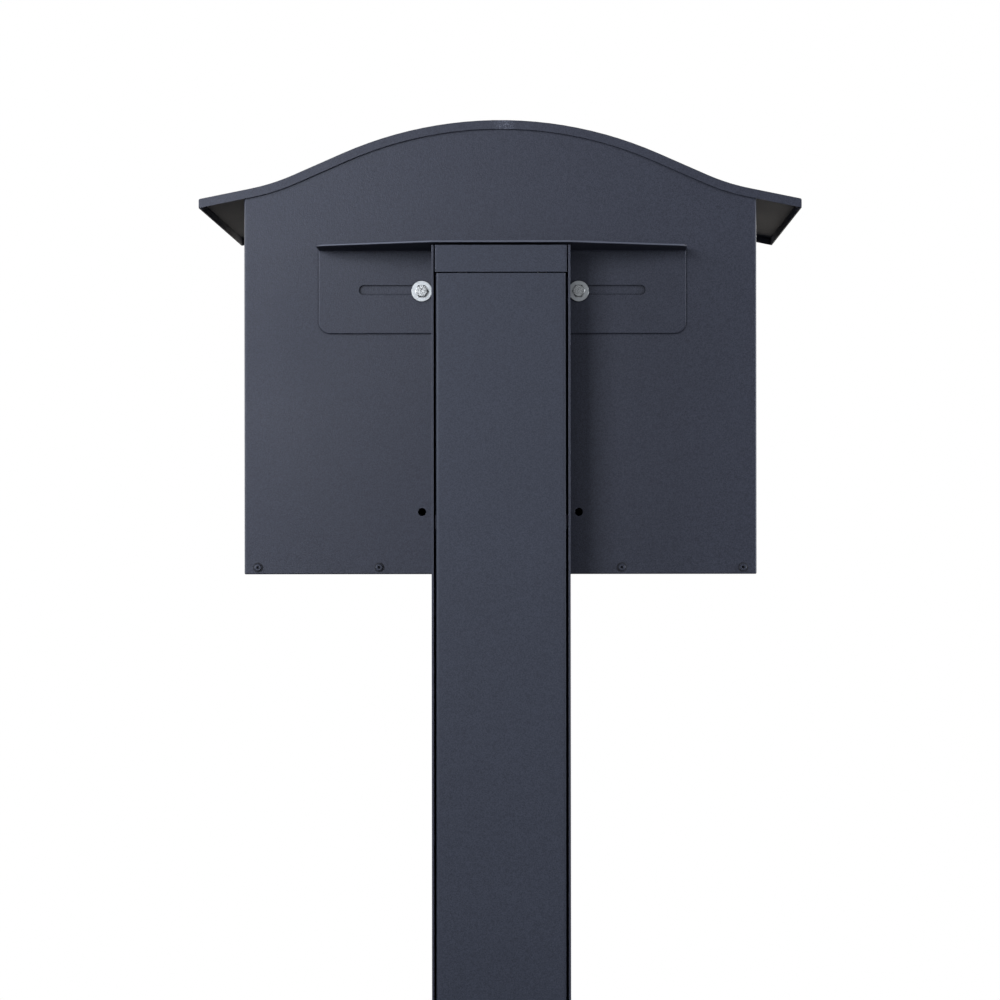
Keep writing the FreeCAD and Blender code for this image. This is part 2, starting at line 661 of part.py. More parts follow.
def make_floor_pan():
    pan = start_body("floor_pan")
    low, high = "body_floor", "body_floor + floor_flange"
    front, rear = f"({FRONT_IN} + fit_gap)", f"({REAR_IN} - fit_gap)"
    add(pan, "Z", low, high, rounded(f"-{SIDE_IN}", front, SIDE_IN, rear, "body_bend"))
    inner = f"({SIDE_IN} - box_sheet)"
    cut(pan, "Z", f"{low} + box_sheet", f"{high} + 1",
        rounded(f"-{inner}", f"({front} + box_sheet)", inner, f"({rear} - box_sheet)", "0.8"))
    cut(pan, "Y", f"{rear} - 3", f"{rear} + 1", *row_holes(-2, -1, 0, 1, 2))
    cut(pan, "Y", f"{front} - 1", f"{front} + 3", *row_holes(-2, -1, 1, 2))
    for side in (-1, 1):
        wall = f"{side} * {SIDE_IN}"
        cut(pan, "X", f"{wall} - 2", f"{wall} + 2", *side_holes()[:3])
    keep(pan)


def make_rivets():
    """Rivets, and the seals under them, along the rear, front and side edges of the box."""
    for make, kind in ((rivet, "rivets"), (rivet_seal, "rivet_seals")):
        rear = make(f"rear_{kind}")
        repeat(rear, ("X", "rivet_pitch * 4", 5))
        place(rear, ("-rivet_pitch * 2", REAR, "rivet_level"), TOWARDS_REAR)
        pair = make(f"right_front_{kind}")
        repeat(pair, ("X", "rivet_pitch", 2))
        place(pair, ("rivet_pitch", FRONT, "rivet_level"), TOWARDS_FRONT)
        row = make(f"right_row_{kind}")
        repeat(row, ("Y", "side_pitch * 2", 3))
        place(row, (SIDE, f"{REAR} - side_start - side_pitch * 2", "rivet_level"), TOWARDS_RIGHT)
        column = make(f"right_column_{kind}")
        repeat(column, ("X", "column_pitch * 2", 3))
        place(column, (SIDE, f"{FRONT} + column_inset", "column_start + column_pitch * 2"), TOWARDS_RIGHT)
        keep(rear, group(f"front_{kind}", pair, mirror(f"left_front_{kind}", pair)))
        keep(group(f"side_{kind}", row, column, mirror(f"left_row_{kind}", row),
                   mirror(f"left_column_{kind}", column)))


def make_partition():
    wall = start_body("partition")
    low = "(body_floor + box_sheet + fit_gap)"
    front, rear = f"({RETURN_BACK} + 5)", f"({REAR_IN} - 0.2)"
    add(wall, "X", "-box_sheet / 2", "box_sheet / 2", [
        (front, low), (f"{rear} - 8", low), (f"{rear} - 8", f"{low} + 14"), (rear, f"{low} + 14"),
        (rear, "partition_top"), (front, "partition_top")])
    add(wall, "Z", low, f"{low} + box_sheet",
        rectangle("-box_sheet / 2", front, "partition_flange", f"{rear} - 8"))
    add(wall, "Y", f"{rear} - box_sheet", rear,
        rectangle("-box_sheet / 2", f"{low} + 30", "partition_flange", "partition_top - 60"))
    keep(wall)


def on_roof_rim(front, rear):
    """A test for the edges around the top face of the roof at its front and rear."""
    rim = [(number(x), number(z)) for x, z in (corner[:2] for corner in roof_top())]

    def test(edge):
        ends = [vertex.Point for vertex in edge.Vertexes]
        on_top = all(any(abs(end.x - x) < 0.01 and abs(end.z - z) < 0.01 for x, z in rim) for end in ends)
        at_end = all(min(abs(end.y - front), abs(end.y - rear)) < 0.01 for end in ends)
        return on_top and at_end and abs(ends[0].x - ends[-1].x) > 0.5

    return test


def make_roof():
    roof = start_body("roof")
    rear = f"({REAR} + roof_overhang)"
    front = f"({rear} - roof_depth)"
    add(roof, "Y", front, rear, roof_top() + backwards(roof_curve("roof_lip")))
    cut(roof, "Y", f"{front} + box_sheet", f"{rear} - box_sheet",
        roof_curve("box_sheet", "box_sheet") + backwards(roof_curve("roof_lip + 3", "box_sheet")))
    round_edges(roof, "roof_round", on_roof_rim(number(front), number(rear)))
    keep(roof)


def make_roof_rail():
    """A channel under the crown, between rear panel and front frame, that the roof's studs pass through."""
    rail = start_body("roof_rail")
    front, rear = f"({FRONT_IN} + 0.2)", f"({REAR_IN} - 0.2)"
    low, skin = "(rail_top - rail_height)", "(rail_top - box_sheet)"
    wall = "(rail_half - box_sheet)"
    add(rail, "Y", front, rear, [
        ("-rail_half", low), (f"-{wall}", low), (f"-{wall}", skin), (wall, skin), (wall, low),
        ("rail_half", low), ("rail_half", "rail_top"), ("-rail_half", "rail_top")])
    tab = mirrored_rectangle(wall, "rail_top - rail_tab", skin)
    add(rail, "Y", front, f"{front} + box_sheet", tab)
    add(rail, "Y", f"{rear} - box_sheet", rear, tab)
    near = f"({REAR} - rail_stud_start)"
    far = f"({near} - rail_stud_pitch)"
    cut(rail, "Z", f"{skin} - 1", "rail_top + 1",
        disc("0", near, "thread_hole"), disc("0", far, "thread_hole"))

    stud = threaded_stud("roof_studs", "rail_stud_length")
    nut = hex_nut("roof_nuts")
    foot = "ridge - box_sheet - rail_stud_length - 0.02"
    for body, level in ((stud, foot), (nut, f"{skin} - nut_height")):
        repeat(body, ("Y", "rail_stud_pitch", 2))
        place(body, ("0", far, level))
    keep(rail, stud, nut)


# ---------------------------------------------------------------- front
def make_front_frame():
    frame = start_body("front_frame")
    add(frame, "Y", FRONT, FRONT_IN, mirrored_rectangle(SIDE_IN, "body_floor", "ridge"))
    low, high = "(opening_bottom - box_sheet)", "(opening_top + box_sheet)"
    stile = "(opening_inner - box_sheet)"
    for side in (-1, 1):
        if side > 0:
            inner, near, far, wall = stile, "opening_inner", "opening_outer", SIDE_IN
            spans = [(inner, far), (inner, near), (f"{wall} - box_sheet", wall),
                     ("stop_start", "stop_start + stop_width")]
        else:
            spans = [("-opening_outer", f"-{stile}"), ("-opening_inner", f"-{stile}"),
                     (f"-{SIDE_IN}", f"-{SIDE_IN} + box_sheet"),
                     ("-stop_start - stop_width", "-stop_start")]
        (left, right), (post_left, post_right), (side_left, side_right), (tab_left, tab_right) = spans
        add(frame, "Y", FRONT, RETURN_BACK, rectangle(left, low, right, "opening_bottom"))
        add(frame, "Y", FRONT, RETURN_BACK, rectangle(left, "opening_top", right, high))
        add(frame, "Y", FRONT, RETURN_BACK, rectangle(post_left, low, post_right, high))
        add(frame, "Y", FRONT, RETURN_BACK,
            rectangle(side_left, "body_floor + floor_flange + 2", side_right, "ridge"))
        for stop_low, stop_high in ((low, "opening_bottom + stop_height"),
                                    ("opening_top - stop_height", high)):
            add(frame, "Y", f"{RETURN_BACK} - box_sheet", RETURN_BACK,
                rectangle(tab_left, stop_low, tab_right, stop_high))
    for side in (-1, 1):
        door = sorted((f"{side} * opening_inner", f"{side} * opening_outer"), key=number)
        slot = sorted((f"{side} * letter_inner", f"{side} * letter_outer"), key=number)
        cut(frame, "Y", f"{FRONT} - 1", FRONT_IN,
            rectangle(door[0], "opening_bottom", door[1], "opening_top"),
            rectangle(slot[0], "letter_bottom", slot[1], "letter_top"))
        for low_x in ("flap_inner - ear_gap - ear_sheet", "flap_outer + ear_gap"):
            ends = sorted((f"{side} * ({low_x})", f"{side} * ({low_x} + ear_sheet)"), key=number)
            add_ear(frame, *ends)
        hinge = disc(f"{side} * hinge_x", HINGE_Y, "pin_radius + 0.05")
        cut(frame, "Z", f"{low} - 1", "opening_bottom + 1", hinge)
        cut(frame, "Z", "opening_top - 1", f"{high} + 1", hinge)
        wall = f"{side} * {SIDE_IN}"
        cut(frame, "X", f"{wall} - 2", f"{wall} + 2", *side_holes()[3:])
    cut(frame, "Y", f"{FRONT} - 1", f"{FRONT_IN} + 1", *row_holes(-2, -1, 1, 2))
    trim_under_roof(frame)
    keep(frame)


def add_ear(frame, low_x, high_x):
    """A tab bent forward from the front sheet, with a hole for the flap's rod."""
    nose = f"({ROD_Y} - knuckle_radius - 0.6)"
    corner = ("ear_corner", 1)
    bottom, top = "(rod_level - ear_half)", "(rod_level + ear_half)"
    add(frame, "X", low_x, high_x, [
        (nose, f"{bottom} + ear_corner", corner), (f"{nose} + ear_corner", bottom), (FRONT_IN, bottom),
        (FRONT_IN, top), (f"{nose} + ear_corner", top, corner), (nose, f"{top} - ear_corner")])
    cut(frame, "X", f"{low_x} - 0.5", f"{high_x} + 0.5", disc(ROD_Y, "rod_level", "rod_radius + 0.05"))


def make_baffle():
    baffle = start_body("baffle_right")
    front = f"({FRONT_IN} + fit_gap)"
    back, knee, hem = f"({front} + baffle_reach)", "(letter_top + 3)", "(letter_top - baffle_reach)"
    add(baffle, "X", "opening_inner + 4", "opening_outer - 5", [
        (front, f"{knee} + baffle_foot"), (front, knee), (back, hem), (back, f"{hem} - baffle_hem"),
        (f"{back} + baffle_sheet", f"{hem} - baffle_hem"),
        (f"{back} + baffle_sheet", f"{hem} + baffle_sheet * 0.4"),
        (f"{front} + baffle_sheet", f"{knee} + baffle_sheet * 0.4"),
        (f"{front} + baffle_sheet", f"{knee} + baffle_foot")])
    keep_pair(baffle)


def door_pin(label, level, facing):
    """A headed pin through a return of the front frame into the door."""
    head = "(pin_radius + 1)"
    pin = turned(label, [
        ("0", "0"), (head, "0"), (head, "pin_head"), ("pin_radius", "pin_head"),
        ("pin_radius", "pin_length"), ("0", "pin_length")])
    return place(pin, ("hinge_x", HINGE_Y, level), facing)


def on_front(edge):
    """A test for the edges around the front face of a door."""
    return all(abs(vertex.Y - number(FRONT)) < 0.01 for vertex in edge.Vertexes)


def make_door():
    door = start_body("door_right")
    back = f"({FRONT} + door_return)"
    left, right = "door_inner", "door_outer"
    low, high = "door_bottom", "door_top"
    add(door, "Y", FRONT, back, rectangle(left, low, right, high))
    round_edges(door, "door_bend", on_line("Y", (left, low), (right, low), (left, high), (right, high)))
    round_edges(door, "door_bend - 0.5", on_front)
    cut(door, "Y", f"{FRONT} + box_sheet", f"{back} + 1", rectangle(
        f"{left} + box_sheet", f"{low} + box_sheet", f"{right} - box_sheet", f"{high} - box_sheet"))
    cut(door, "Z", f"{low} - 1", f"{high} + 1", disc("hinge_x", HINGE_Y, "pin_radius + 0.1"))
    cut(door, "Y", f"{FRONT} - 1", f"{back} + 1", disc("lock_x", "lock_level", "barrel_radius + 0.1"))
    keep_pair(door)

    lower = door_pin("lower_pin", "opening_bottom - box_sheet - pin_head - 0.05", Rotation())
    upper = door_pin("upper_pin", "opening_top + box_sheet + pin_head + 0.05", Rotation(Vector(1, 0, 0), 180))
    keep_pair(group("door_pins_right", lower, upper))


def make_flap():
    flap = start_body("flap_right")
    outer = f"({FLAP_BACK} - box_sheet)"
    lip = f"({outer} - flap_lip)"
    add(flap, "X", "flap_inner", "flap_outer", disc(ROD_Y, "rod_level", "knuckle_radius"))
    add(flap, "X", "flap_inner", "flap_outer", [
        (FLAP_BACK, "rod_level - 2"), (FLAP_BACK, "flap_bottom"), (lip, "flap_bottom"),
        (lip, "flap_bottom + box_sheet"), (outer, "flap_bottom + box_sheet"), (outer, "rod_level - 2")])
    cut(flap, "X", "flap_inner - 1", "flap_outer + 1", disc(ROD_Y, "rod_level", "rod_radius + 0.1"))
    keep_pair(flap)

    length = "(flap_outer - flap_inner + 2 * (ear_gap + ear_sheet) + 0.8)"
    rod = turned("flap_rod_right", [
        ("0", "-1.2"), ("2.6", "-1.2"), ("2.6", "0"), ("rod_radius", "0"), ("rod_radius", length),
        ("0", length)])
    place(rod, ("flap_inner - ear_gap - ear_sheet - 0.05", ROD_Y, "rod_level"), TOWARDS_RIGHT)
    keep_pair(rod)


# ---------------------------------------------------------------- locks, card holders, rubber dots
def make_lock():
    housing = start_body("lock_body_right")
    centre = ("lock_x", "lock_level")
    barrel_back = f"({RETURN_BACK} - 1.5)"
    add(housing, "Y", LOCK_FACE, FRONT, disc(*centre, "lock_head"))
    add(housing, "Y", FRONT, barrel_back, disc(*centre, "barrel_radius"))
    cut(housing, "Y", f"{LOCK_FACE} - 1", f"{barrel_back} + 1", disc(*centre, "plug_radius + 0.1"))
    cut(housing, "Y", f"{LOCK_FACE} - 1", f"{LOCK_FACE} + 1.1", disc(*centre, "plug_radius + 1"))

    nut = start_body("lock_nut_right")
    add(nut, "Y", f"{FRONT_IN} + 0.05", f"{FRONT_IN} + lock_nut_back",
        hexagon(*centre, "lock_nut_flats"), disc(*centre, "barrel_radius + 0.05"))

    plug = start_body("lock_plug_right")
    shoulder = f"({CAM_FRONT} - 0.1)"
    add(plug, "Y", f"{LOCK_FACE} - 0.2", shoulder, disc(*centre, "plug_radius"))
    add(plug, "Y", f"{LOCK_FACE} - 0.2", f"{LOCK_FACE} + 1", disc(*centre, "plug_radius + 0.9"))
    add(plug, "Y", shoulder, f"{CAM_BACK} - 0.1", rectangle(
        "lock_x - shank_half", "lock_level - shank_half", "lock_x + shank_half", "lock_level + shank_half"))
    cut(plug, "Y", f"{CAM_BACK} - 4.5", f"{CAM_BACK} + 1", disc(*centre, "2"))
    cut(plug, "Y", f"{LOCK_FACE} - 1", f"{CAM_BACK} - 7.5", rectangle(
        "lock_x - key_thickness / 2 - 0.15", "lock_level - 3.2",
        "lock_x + key_thickness / 2 + 0.15", "lock_level + 3.2"))

    cam = start_body("lock_cam_right")
    add(cam, "Y", CAM_FRONT, CAM_BACK, disc(*centre, "cam_hub"))
    half = "cam_width / 2"
    add(cam, "Y", CAM_FRONT, CAM_BACK, rounded(
        f"(lock_x - {half})", "(lock_level - cam_length)", f"(lock_x + {half})", "(lock_level + 2)",
        "cam_corner"))
    hole = "(shank_half + 0.1)"
    cut(cam, "Y", f"{CAM_FRONT} - 1", f"{CAM_BACK} + 1", rectangle(
        f"lock_x - {hole}", f"lock_level - {hole}", f"lock_x + {hole}", f"lock_level + {hole}"))

    screw = turned("cam_screw_right", [
        ("0", "0"), ("screw_radius", "0"), ("screw_radius", "4"), ("5", "4"), ("5", "5.4"), ("4", "6.4"),
        ("1.4", "6.4"),
        ("1.4", "5.2"), ("0", "5.2")])
    place(screw, (*centre[:1], f"{CAM_BACK} - 3.95", centre[1]), TOWARDS_REAR)

    key = start_body("key_right")
    bow_y = f"({LOCK_FACE} - key_reach)"
    side = ("lock_x - key_thickness / 2", "lock_x + key_thickness / 2")
    add(key, "X", *side, disc(bow_y, "lock_level", "key_bow"))
    tip = f"{CAM_BACK} - 8"
    add(key, "X", *side, rectangle(f"{bow_y} + 5", "lock_level - key_half", tip, "lock_level + key_half"))
    hole = disc(f"{bow_y} - key_bow / 2", "lock_level", "key_hole")
    cut(key, "X", f"{side[0]} - 1", f"{side[1]} + 1", hole)
    for tooth in range(4):
        notch = f"({tip} - {tooth} * key_pitch)"
        cut(key, "X", f"{side[0]} - 1", f"{side[1]} + 1", [
            (f"{notch} - 1.6", "lock_level - key_half - 0.5"),
            (f"{notch} - 0.2", "lock_level - key_half - 0.5"),
            (f"{notch} - 0.9", f"lock_level - key_half * {0.7 - 0.1 * (tooth % 2):.1f}")])
    for body in (housing, nut, plug, cam, screw, key):
        keep_pair(body)


def make_card_holder():
    holder = start_body("nameplate_right")
    half, tall = "holder_width / 2", "holder_height / 2"

    def window(inset):
        return (f"(holder_x - {half} + {inset})", f"(holder_level - {tall} + {inset})",
                f"(holder_x + {half} - {inset})", f"(holder_level + {tall} - {inset})")

    back = f"({FRONT} - 0.05)"
    add(holder, "Y", f"{back} - holder_sheet", back, rounded(*window("0"), "holder_corner"))
    cut(holder, "Y", f"{back} - holder_sheet - 1", f"{back} + 1",
        rounded(*window("holder_border"), "holder_corner / 2"))
    cut(holder, "Y", f"{back} - 0.6", f"{back} + 1", rectangle(*window("holder_rebate")))
    card = start_body("name_card_right")
    add(card, "Y", f"{back} - 0.5", f"{back} - 0.1", rectangle(*window("(holder_rebate + 0.3)")))
    keep_pair(holder)
    keep_pair(card)


def make_bumpers():
    dot = start_body("flap_bumpers_right")
    add(dot, "Y", f"{FLAP_BACK} + 0.25", f"{FRONT} - 0.05",
        disc("letter_inner + bumper_inset", "flap_bottom + bumper_rise", "bumper_radius"),
        disc("letter_outer - bumper_inset", "flap_bottom + bumper_rise", "bumper_radius"))
    stop = start_body("door_bumpers_right")
    middle = "stop_start + stop_width / 2"
    add(stop, "Y", f"{FRONT} + door_return + 0.2", f"{RETURN_BACK} - box_sheet - 0.1",
        disc(middle, "opening_bottom + stop_bumper_inset", "stop_bumper_radius"),
        disc(middle, "opening_top - stop_bumper_inset", "stop_bumper_radius"))
    keep_pair(dot)
    keep_pair(stop)


# ---------------------------------------------------------------- build, test, write
def test_document():
    """Stop at a failed feature, or at a sub-part that is empty or unsound."""
    for item in document.Objects:
        if {"Invalid", "Error"} & set(item.State):
            raise RuntimeError(f"{item.Name} failed: {item.State}")
    for node in NODES:
        if node.Shape.isNull() or not node.Shape.isValid() or not node.Shape.Solids:
            raise RuntimeError(f"{node.Label} is not a sound solid")


def write_files():
    """One STEP file for each sub-part, named after its label."""
    os.makedirs("parts", exist_ok=True)
    for node in NODES:
        node.Shape.exportStep(f"parts/{node.Label}.step")


for make in (
    make_base, make_post, make_cover_clips, make_bracket, make_bracket_fasteners,
):
    make()
Middle.x = "box_shift"
for make in (
    make_mounting_bolts, make_body_shell, make_floor_pan, make_rivets, make_partition, make_roof,
    make_roof_rail, make_front_frame, make_baffle, make_door, make_flap, make_lock, make_card_holder,
    make_bumpers,
):
    make()
document.recompute()
test_document()
write_files()
print(f"{len(NODES)} sub-parts written")
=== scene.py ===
"""Looks for the two-compartment mailbox unit: materials, small mesh details, studio and camera."""
import json
import math

import bmesh
import bpy
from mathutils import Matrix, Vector


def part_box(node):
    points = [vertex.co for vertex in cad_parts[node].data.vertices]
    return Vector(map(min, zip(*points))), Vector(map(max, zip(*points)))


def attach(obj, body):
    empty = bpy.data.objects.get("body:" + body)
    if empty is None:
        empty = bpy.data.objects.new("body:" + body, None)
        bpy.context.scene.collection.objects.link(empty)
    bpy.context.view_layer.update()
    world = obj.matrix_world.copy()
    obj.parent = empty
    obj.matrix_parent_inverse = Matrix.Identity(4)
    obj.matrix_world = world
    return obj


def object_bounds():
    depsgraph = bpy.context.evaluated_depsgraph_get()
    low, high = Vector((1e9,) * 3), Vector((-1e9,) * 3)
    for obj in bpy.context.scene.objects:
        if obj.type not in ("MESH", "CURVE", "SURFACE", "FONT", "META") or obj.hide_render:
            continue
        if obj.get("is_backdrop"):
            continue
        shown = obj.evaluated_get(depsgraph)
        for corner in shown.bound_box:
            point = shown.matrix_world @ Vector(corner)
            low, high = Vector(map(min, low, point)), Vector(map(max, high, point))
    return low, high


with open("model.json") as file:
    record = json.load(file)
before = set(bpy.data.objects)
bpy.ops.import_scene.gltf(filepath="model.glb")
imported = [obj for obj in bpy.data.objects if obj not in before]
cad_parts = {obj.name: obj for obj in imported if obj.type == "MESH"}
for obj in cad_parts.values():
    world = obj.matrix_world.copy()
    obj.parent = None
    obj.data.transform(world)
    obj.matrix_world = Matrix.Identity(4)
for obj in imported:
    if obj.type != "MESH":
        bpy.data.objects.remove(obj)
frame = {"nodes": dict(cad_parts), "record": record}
cad_low, cad_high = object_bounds()

MM = 0.001
NODES = frame["nodes"]
SLOT_OF = {entry["node"]: entry["material_slot"] for entry in frame["record"]["subparts"]}

# ---------------------------------------------------------------- colours (linear RGB)
ANTHRACITE = (0.0375, 0.0400, 0.0525)
ANTHRACITE_COVER = (0.0395, 0.0435, 0.0565)
# Paler colour of rubbed edges and the roof's scuff, which are real wear, and also of the painted highlight
# on the bracket flange's rear rim.
WORN_EDGE_AND_HIGHLIGHT = (0.20, 0.21, 0.24)
ZINC = (0.48, 0.485, 0.445)
BOLT = (0.40, 0.40, 0.36)
STEEL = (0.56, 0.56, 0.55)
BLUED = (0.13, 0.13, 0.15)
CHROME = (0.78, 0.78, 0.79)
NICKEL = (0.62, 0.58, 0.50)
CARD = (0.80, 0.79, 0.74)
RUBBER = (0.018, 0.018, 0.019)
FLOOR = (0.86, 0.86, 0.85)
FLOOR_BOUNCE = (0.06, 0.06, 0.06)
WHITE = (1.0, 1.0, 1.0)
COOL = (0.90, 0.96, 1.13)
WARM = (1.04, 0.98, 0.90)

# ---------------------------------------------------------------- powder coat
GRAIN = 0.9 * MM
COAT_RELIEF = 0.10 * MM
COAT_SPECULAR = 0.34
COAT_ROUNDING = 0.5 * MM
# Painted shade: within this reach of another surface the coat is darkened to this tone and made less shiny.
CORNER_SHADE_REACH = 2.5 * MM
CORNER_SHADE_TONE = 0.42
WORN_WIDTH = 0.7 * MM
SCUFF_REACH = 11 * MM
# Painted highlight: the rear faces of the bracket's flange near its top are made paler by this amount.
RIM_HIGHLIGHT = 0.55
RIM_BAND = 2.5 * MM  # how far down from its top the bracket's flange gets the painted highlight

# ---------------------------------------------------------------- welds and threads
WELD_SIZE = 2.0 * MM
GUSSET_WELD_SIZE = 1.6 * MM
WELD_RIPPLE = 1.6 * MM
WELD_SIDES = 10
THREAD_RADIUS = 3.0 * MM
THREAD_PITCH = 1.0 * MM
THREAD_PARTS = 20
THREAD_CREST = 0.12 * MM
THREAD_ROOT = 0.10 * MM
THREAD_HALF_WIDTH = 0.36 * MM
BOLT_CORNER = 5.77 * MM  # middle of a mounting bolt to a corner of its head
BOLT_TIP = 0.7 * MM  # the plain end of a mounting bolt

# ---------------------------------------------------------------- studio and camera (metres)
FLOOR_RADIUS = 2.4
FLOOR_GLOW = 0.35
FLOOR_GAP = 0.5 * MM
CAMERA_DISTANCE = 2.100
CAMERA_SIDE = -0.0475
CAMERA_DROP = 0.3507
CAMERA_LENS = 85.9
CAMERA_SHIFT = (-0.0545, 0.0188)
CAMERA_ROLL = 0.06
BEHIND_CAMERA = 0.17
CAMERA_GLOW = 0.70
BACKDROP = 2.00
DIM_SIDE = 0.17
AMBIENT = 0.004
AIM_DROP = 0.25  # the lights aim this far below the top of the roof

# Name, place from the point that the lights aim at, size, power and colour. The walls of light are named
# as seen from the rear, and the side lights as seen from the front.
LIGHTS = (
    ("key", (1.29, 3.04, 0.60), 1.2, 48.0, COOL),
    ("left_wall", (1.60, 0.60, 0.30), 1.0, 20.0, COOL),
    ("right_wall", (-1.80, 0.55, 0.10), 1.0, 22.0, COOL),
    ("front_key", (-1.40, -2.20, 1.00), 1.2, 18.0, WHITE),
    ("front_fill", (1.80, -1.80, 0.30), 1.6, 7.0, WHITE),
    ("top", (0.00, -0.90, 1.50), 1.0, 9.0, WHITE),
    ("side_left", (-2.20, -0.55, 0.20), 1.2, 12.0, WHITE),
    ("side_right", (2.20, -0.55, 0.20), 1.2, 12.0, WHITE),
)


# ---------------------------------------------------------------- node helpers
class Nodes:
    """A node tree with short calls for the nodes used here."""

    def __init__(self, tree):
        self.tree = tree
        self.tree.nodes.clear()

    def feed(self, socket, value):
        """Link a socket to a node's output or set it to a plain value; a plain colour is opaque."""
        if hasattr(value, "is_output"):
            self.tree.links.new(value, socket)
        elif socket.type == "RGBA":
            socket.default_value = (*value, 1)
        else:
            socket.default_value = value

    def node(self, kind, inputs=None, **settings):
        """Add a node, set it up, feed its inputs by name or number, and give its outputs."""
        made = self.tree.nodes.new("ShaderNode" + kind)
        for name, value in settings.items():
            setattr(made, name, value)
        for name, value in (inputs or {}).items():
            self.feed(made.inputs[name], value)
        return made.outputs

    def remap(self, value, low, high, new_low, new_high, smooth=False):
        """Map a value from one range to another, clamped."""
        ends = {"Value": value, "From Min": low, "From Max": high, "To Min": new_low, "To Max": new_high}
        kind = "SMOOTHSTEP" if smooth else "LINEAR"
        return self.node("MapRange", ends, interpolation_type=kind)["Result"]

    def math(self, operation, first, second):
        """The result of an operation on two values or sockets."""
        return self.node("Math", {0: first, 1: second}, operation=operation)["Value"]

    def times(self, first, second):
        """The product of two values or sockets."""
        return self.math("MULTIPLY", first, second)

    def plus(self, first, second):
        """The sum of two values or sockets."""
        return self.math("ADD", first, second)

    def mix(self, factor, first, second):
        """Blend two colours by a factor."""
        return self.node("Mix", {"Factor": factor, 6: first, 7: second}, data_type="RGBA")[2]

    def parts(self, vector):
        """The x, y and z parts of a vector."""
        return self.node("SeparateXYZ", {"Vector": vector})

    def camera_rays(self):
        """1 for what the camera sees straight on, and 0 for light on its way between surfaces."""
        return self.node("LightPath")["Is Camera Ray"]


class Shader(Nodes):
    """A material with a principled surface."""

    def __init__(self, name):
        self.material = bpy.data.materials.new(name)
        self.material.use_nodes = True
        super().__init__(self.material.node_tree)
        output = self.tree.nodes.new("ShaderNodeOutputMaterial")
        self.surface = self.tree.nodes.new("ShaderNodeBsdfPrincipled")
        self.feed(output.inputs["Surface"], self.surface.outputs["BSDF"])
        self.place = self.node("TexCoord")["Object"]
        self.geometry = self.node("NewGeometry")

    def set(self, **values):
        """Feed inputs of the principled surface, by name with spaces as underscores."""
        for name, value in values.items():
            self.feed(self.surface.inputs[name.replace("_", " ")], value)

    def stretched(self, stretch):
        """Object coordinates scaled by a different factor along each axis."""
        return self.node("Mapping", {"Scale": stretch, "Vector": self.place})["Vector"]

    def noise(self, size, detail=2.0, roughness=0.5, place=None):
        """Noise whose features are about this many metres across."""
        grain = {"Scale": 1 / size, "Detail": detail, "Roughness": roughness, "Vector": place or self.place}
        return self.node("TexNoise", grain)["Fac"]

    def cells(self, size):
        """The distance to the middles of cells about this many metres across."""
        return self.node("TexVoronoi", {"Scale": 1 / size, "Vector": self.place})["Distance"]

    def tinted(self, colour, factor):
        """A colour multiplied by a value."""
        return self.node("VectorMath", {0: colour, "Scale": factor}, operation="SCALE")["Vector"]

    def rounded_normal(self, radius):
        """The surface normal with edges rounded off over this radius."""
        return self.node("Bevel", {"Radius": radius}, samples=4)["Normal"]

    def edge(self, radius):
        """A value near 1 on edges within this radius and 0 away from them."""
        normals = {0: self.rounded_normal(radius), 1: self.geometry["Normal"]}
        alike = self.node("VectorMath", normals, operation="DOT_PRODUCT")["Value"]
        return self.remap(alike, 0.99, 0.80, 0.0, 1.0)

    def corner_shade(self, reach):
        """A value that falls below 1 where another surface stands within this reach, used for painted shade
        in corners and creases.
        """
        return self.node("AmbientOcclusion", {"Distance": reach}, samples=6)["AO"]

    def near(self, place, reach):
        """A value near 1 close to a place in the object's frame and 0 beyond this reach of it."""
        ends = {0: self.geometry["Position"], 1: place}
        distance = self.node("VectorMath", ends, operation="DISTANCE")["Value"]
        return self.remap(distance, reach, reach * 0.3, 0.0, 1.0)

    def facing(self):
        """The x, y and z parts of the surface normal."""
        return self.parts(self.geometry["Normal"])

    def underside(self):
        """A value near 1 on faces that look down and 0 on the rest."""
        return self.remap(self.facing()["Z"], -0.5, -0.9, 0.0, 1.0)

    def sideways(self):
        """A value near 1 on faces that look left or right and 0 on the rest."""
        return self.remap(self.math("ABSOLUTE", self.facing()["X"], 0.0), 0.7, 0.95, 0.0, 1.0)

    def rear_highlight(self, level, amount):
        """An amount on faces that look to the rear above a level and 0 on the rest, for a painted
        highlight.
        """
        above = self.math("GREATER_THAN", self.parts(self.geometry["Position"])["Z"], level)
        return self.times(above, self.remap(self.facing()["Y"], 0.7, 0.95, 0.0, amount))

    def bump(self, height, depth, base=None):
        """A bumped normal, on top of a base normal if there is one; depth is in metres."""
        relief = {"Strength": 1.0, "Distance": depth, "Height": height}
        if base is not None:
            relief["Normal"] = base
        return self.node("Bump", relief)["Normal"]


